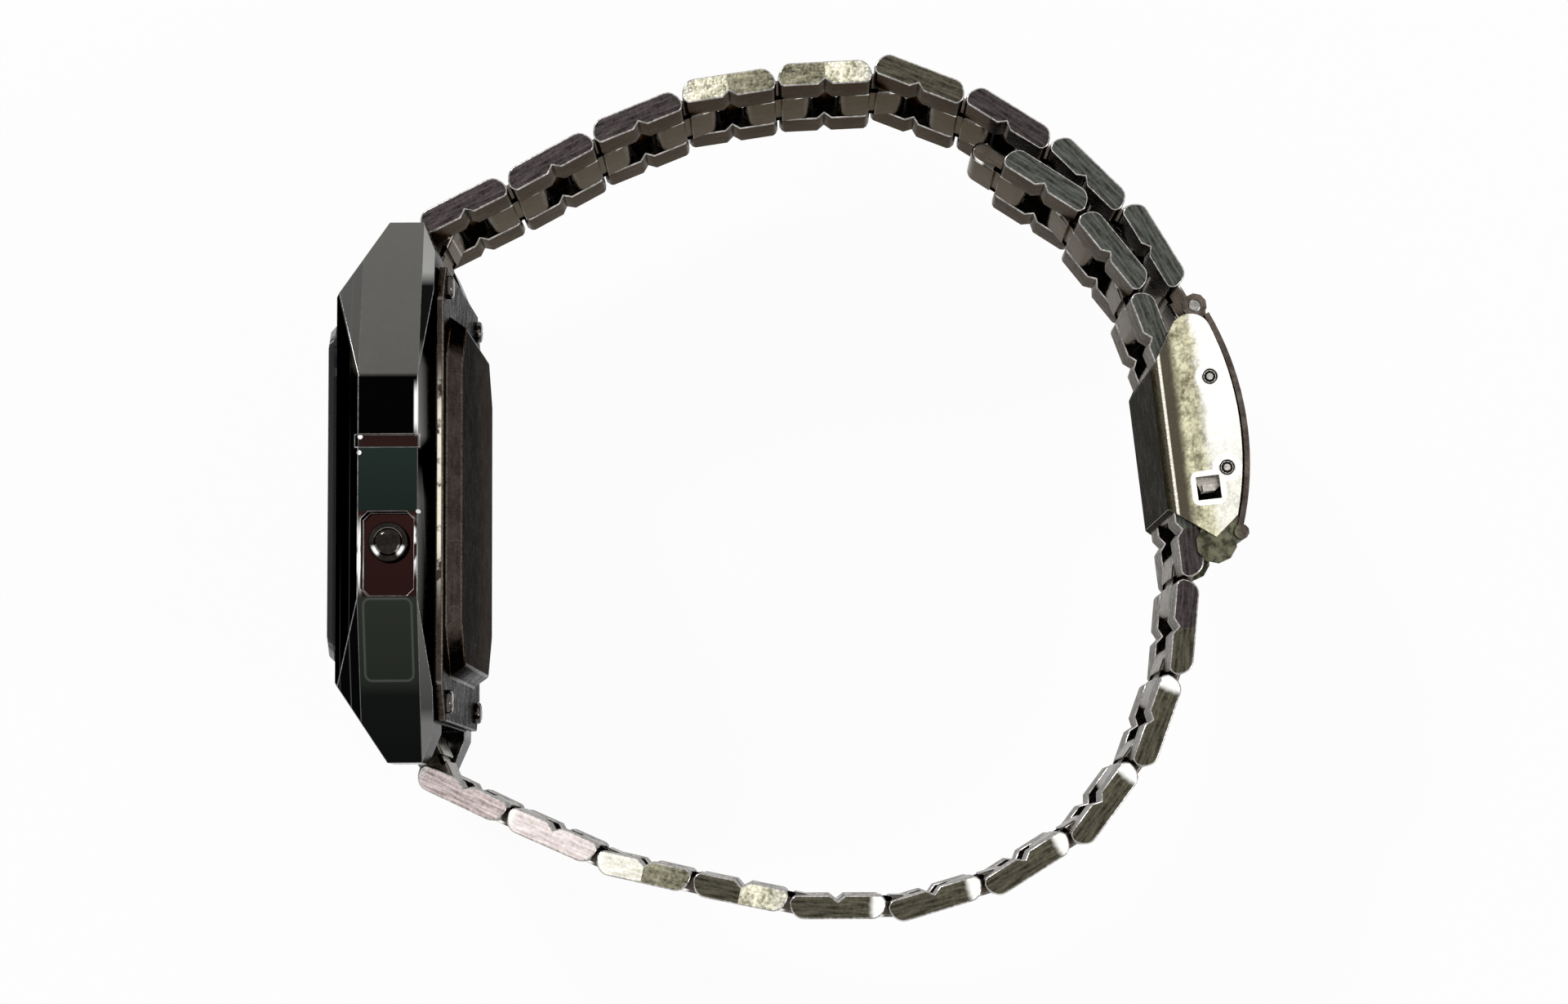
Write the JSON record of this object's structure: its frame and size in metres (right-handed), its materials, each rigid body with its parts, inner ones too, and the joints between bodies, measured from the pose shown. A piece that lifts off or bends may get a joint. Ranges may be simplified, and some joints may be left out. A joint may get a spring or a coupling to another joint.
{
  "type": "digital wristwatch",
  "caption": "Rectangular digital watch with faceted steel case, side pushers and a folded-link steel bracelet closed by a sliding fold-over clasp.",
  "frame": {"origin": "centre of the side face of the case at 9 o'clock, on which the watch stands", "axes": "+X out of the case back towards the wrist, +Y to 12 o'clock, +Z to 3 o'clock along every link pin"},
  "size_m": [0.0666, 0.0631, 0.0363],
  "materials": {
    "case_steel": "brushed facets with polished bevels",
    "back_steel": "fine brushed",
    "link_steel": "brushed sides, polished rims",
    "clasp_steel": "satin",
    "pusher_steel": "polished",
    "pin_steel": "turned",
    "screw_steel": "turned",
    "spring_steel": "bright",
    "cell_steel": "bright",
    "mineral_glass": "polished mineral glass",
    "dial_print": "printed under varnish",
    "lcd_glass": "satin polariser",
    "connector_rubber": "striped silicone",
    "module_plastic": "moulded",
    "board_laminate": "solder mask",
    "seal_rubber": "matt",
    "buzzer_brass": "bright"
  },
  "bodies": {
    "case": {"case_body": "case_steel", "crystal": "mineral_glass", "dial_panel": "dial_print", "lcd_panel": "lcd_glass", "lcd_connectors": "connector_rubber", "module_frame": "module_plastic", "circuit_board": "board_laminate", "battery": "cell_steel", "battery_clip": "spring_steel", "buzzer_contact": "spring_steel", "case_back": "back_steel", "back_screws": "screw_steel", "back_gasket": "seal_rubber", "buzzer_disc": "buzzer_brass", "pusher_seals": "seal_rubber", "lug_spring_bars": "pin_steel"},
    "pusher_upper_left": {"pusher_upper_left": "pusher_steel", "pusher_clip_upper_left": "spring_steel", "pusher_spring_upper_left": "spring_steel"},
    "pusher_lower_left": {"pusher_lower_left": "pusher_steel", "pusher_clip_lower_left": "spring_steel", "pusher_spring_lower_left": "spring_steel"},
    "pusher_right": {"pusher_right": "pusher_steel", "pusher_clip_right": "spring_steel", "pusher_spring_right": "spring_steel"},
    "upper_end": {"top_end_link": "link_steel"},
    "lower_1": {"bottom_end_link": "link_steel", "bottom_link_1": "link_steel"},
    "lower_2": {"bottom_link_2": "link_steel"},
    "lower_3": {"bottom_link_3": "link_steel"},
    "lower_4": {"bottom_link_4": "link_steel"},
    "lower_5": {"bottom_link_5": "link_steel"},
    "lower_6": {"bottom_link_6": "link_steel"},
    "lower_7": {"bottom_link_7": "link_steel"},
    "lower_8": {"bottom_link_8": "link_steel"},
    "lower_9": {"bottom_link_9": "link_steel"},
    "lower_10": {"bottom_link_10": "link_steel"},
    "clasp": {"clasp_slider": "clasp_steel", "bottom_link_11": "link_steel", "bottom_link_12": "link_steel", "blade_pin": "pin_steel", "lock_rivets": "pin_steel"},
    "tail_1": {"bottom_link_13": "link_steel"},
    "tail_2": {"bottom_link_14": "link_steel"},
    "tail_3": {"bottom_link_15": "link_steel"},
    "lock_flap": {"lock_flap": "clasp_steel"},
    "blade": {"fold_blade": "clasp_steel"},
    "cover": {"clasp_cover": "clasp_steel", "cover_pin": "pin_steel", "strap_end_bar": "pin_steel"},
    "upper_9": {"top_link_9": "link_steel"},
    "upper_8": {"top_link_8": "link_steel"},
    "upper_7": {"top_link_7": "link_steel"},
    "upper_6": {"top_link_6": "link_steel"},
    "upper_5": {"top_link_5": "link_steel"},
    "upper_4": {"top_link_4": "link_steel"},
    "upper_3": {"top_link_3": "link_steel"},
    "upper_2": {"top_link_2": "link_steel"},
    "upper_1": {"top_link_1": "link_steel"}
  },
  "joints": [
    {"name": "press_upper_left", "type": "slide", "parent": "case", "child": "pusher_upper_left", "axis": [0, 0, 1], "range_m": [0, 0.0004], "stiffness_N_per_m": 500, "deforming": ["pusher_spring_upper_left"]},
    {"name": "press_lower_left", "type": "slide", "parent": "case", "child": "pusher_lower_left", "axis": [0, 0, 1], "range_m": [0, 0.0004], "stiffness_N_per_m": 500, "deforming": ["pusher_spring_lower_left"]},
    {"name": "press_right", "type": "slide", "parent": "case", "child": "pusher_right", "axis": [0, 0, -1], "range_m": [0, 0.0004], "stiffness_N_per_m": 500, "deforming": ["pusher_spring_right"]},
    {"name": "upper_lug_hinge", "type": "hinge", "parent": "case", "child": "upper_end", "pos_m": [0.0013, 0.0174, 0.01815], "axis": [0, 0, 1], "range_deg": [0, 34]},
    {"name": "lower_lug_hinge", "type": "hinge", "parent": "case", "child": "lower_1", "pos_m": [0.0013, -0.0174, 0.01815], "axis": [0, 0, -1], "range_deg": [0, 34]},
    {"name": "lower_hinge_2", "type": "hinge", "parent": "lower_1", "child": "lower_2", "pos_m": [0.0092, -0.02374, 0.01815], "axis": [0, 0, -1], "range_deg": [0, 4]},
    {"name": "lower_hinge_3", "type": "hinge", "parent": "lower_2", "child": "lower_3", "pos_m": [0.01572, -0.02664, 0.01815], "axis": [0, 0, -1], "range_deg": [0, 13]},
    {"name": "lower_hinge_4", "type": "hinge", "parent": "lower_3", "child": "lower_4", "pos_m": [0.02268, -0.02825, 0.01815], "axis": [0, 0, -1], "range_deg": [0, 4]},
    {"name": "lower_hinge_5", "type": "hinge", "parent": "lower_4", "child": "lower_5", "pos_m": [0.02967, -0.02967, 0.01815], "axis": [0, 0, -1], "range_deg": [0, 13.5]},
    {"name": "lower_hinge_6", "type": "hinge", "parent": "lower_5", "child": "lower_6", "pos_m": [0.03681, -0.02967, 0.01815], "axis": [0, 0, -1], "range_deg": [0, 18.5]},
    {"name": "lower_hinge_7", "type": "hinge", "parent": "lower_6", "child": "lower_7", "pos_m": [0.04366, -0.02764, 0.01815], "axis": [0, 0, -1], "range_deg": [0, 17.5]},
    {"name": "lower_hinge_8", "type": "hinge", "parent": "lower_7", "child": "lower_8", "pos_m": [0.04971, -0.02386, 0.01815], "axis": [0, 0, -1], "range_deg": [0, 23]},
    {"name": "lower_hinge_9", "type": "hinge", "parent": "lower_8", "child": "lower_9", "pos_m": [0.05401, -0.01816, 0.01815], "axis": [0, 0, -1], "range_deg": [0, 19]},
    {"name": "lower_hinge_10", "type": "hinge", "parent": "lower_9", "child": "lower_10", "pos_m": [0.05645, -0.01145, 0.01815], "axis": [0, 0, -1], "range_deg": [0, 16.5]},
    {"name": "clasp_hinge", "type": "hinge", "parent": "lower_10", "child": "clasp", "pos_m": [0.05714, -0.00434, 0.01815], "axis": [0, 0, -1], "range_deg": [0, 14]},
    {"name": "tail_hinge_1", "type": "hinge", "parent": "clasp", "child": "tail_1", "pos_m": [0.05552, 0.00985, 0.01815], "axis": [0, 0, -1], "range_deg": [-15, 0]},
    {"name": "tail_hinge_2", "type": "hinge", "parent": "tail_1", "child": "tail_2", "pos_m": [0.05302, 0.01654, 0.01815], "axis": [0, 0, -1], "range_deg": [-25, 0]},
    {"name": "tail_hinge_3", "type": "hinge", "parent": "tail_2", "child": "tail_3", "pos_m": [0.04858, 0.02213, 0.01815], "axis": [0, 0, -1], "range_deg": [-25, 0]},
    {"name": "lock_flap_hinge", "type": "hinge", "parent": "clasp", "child": "lock_flap", "pos_m": [0.05976, 0.00181, 0.01815], "axis": [0, 0, -1], "range_deg": [0, 8]},
    {"name": "blade_hinge", "type": "hinge", "parent": "clasp", "child": "blade", "pos_m": [0.0586, 0.00842, 0.01815], "axis": [0, 0, 1], "range_deg": [0, 160]},
    {"name": "cover_hinge", "type": "hinge", "parent": "blade", "child": "cover", "pos_m": [0.05972, -0.00141, 0.01815], "axis": [0, 0, 1], "range_deg": [-160, 0]},
    {"name": "upper_hinge_9", "type": "hinge", "parent": "cover", "child": "upper_9", "pos_m": [0.05762, 0.01367, 0.01815], "axis": [0, 0, -1], "range_deg": [0, 40]},
    {"name": "upper_hinge_8", "type": "hinge", "parent": "upper_9", "child": "upper_8", "pos_m": [0.05395, 0.01979, 0.01815], "axis": [0, 0, -1], "range_deg": [0, 16]},
    {"name": "upper_hinge_7", "type": "hinge", "parent": "upper_8", "child": "upper_7", "pos_m": [0.0489, 0.02484, 0.01815], "axis": [0, 0, -1], "range_deg": [0, 14.5]},
    {"name": "upper_hinge_6", "type": "hinge", "parent": "upper_7", "child": "upper_6", "pos_m": [0.04287, 0.02868, 0.01815], "axis": [0, 0, -1], "range_deg": [0, 13]},
    {"name": "upper_hinge_5", "type": "hinge", "parent": "upper_6", "child": "upper_5", "pos_m": [0.03623, 0.0313, 0.01815], "axis": [0, 0, -1], "range_deg": [0, 26]},
    {"name": "upper_hinge_4", "type": "hinge", "parent": "upper_5", "child": "upper_4", "pos_m": [0.0291, 0.03098, 0.01815], "axis": [0, 0, -1], "range_deg": [0, 8]},
    {"name": "upper_hinge_3", "type": "hinge", "parent": "upper_4", "child": "upper_3", "pos_m": [0.02204, 0.02993, 0.01815], "axis": [0, 0, -1], "range_deg": [0, 15.5]},
    {"name": "upper_hinge_2", "type": "hinge", "parent": "upper_3", "child": "upper_2", "pos_m": [0.01542, 0.02725, 0.01815], "axis": [0, 0, -1], "range_deg": [0, 8.5]},
    {"name": "upper_hinge_1", "type": "hinge", "parent": "upper_2", "child": "upper_1", "pos_m": [0.00914, 0.02385, 0.01815], "axis": [0, 0, -1], "range_deg": [0, 10]}
  ],
  "couplings": [
    {"joint": "cover_hinge", "follows": "blade_hinge", "ratio": -1}
  ]
}
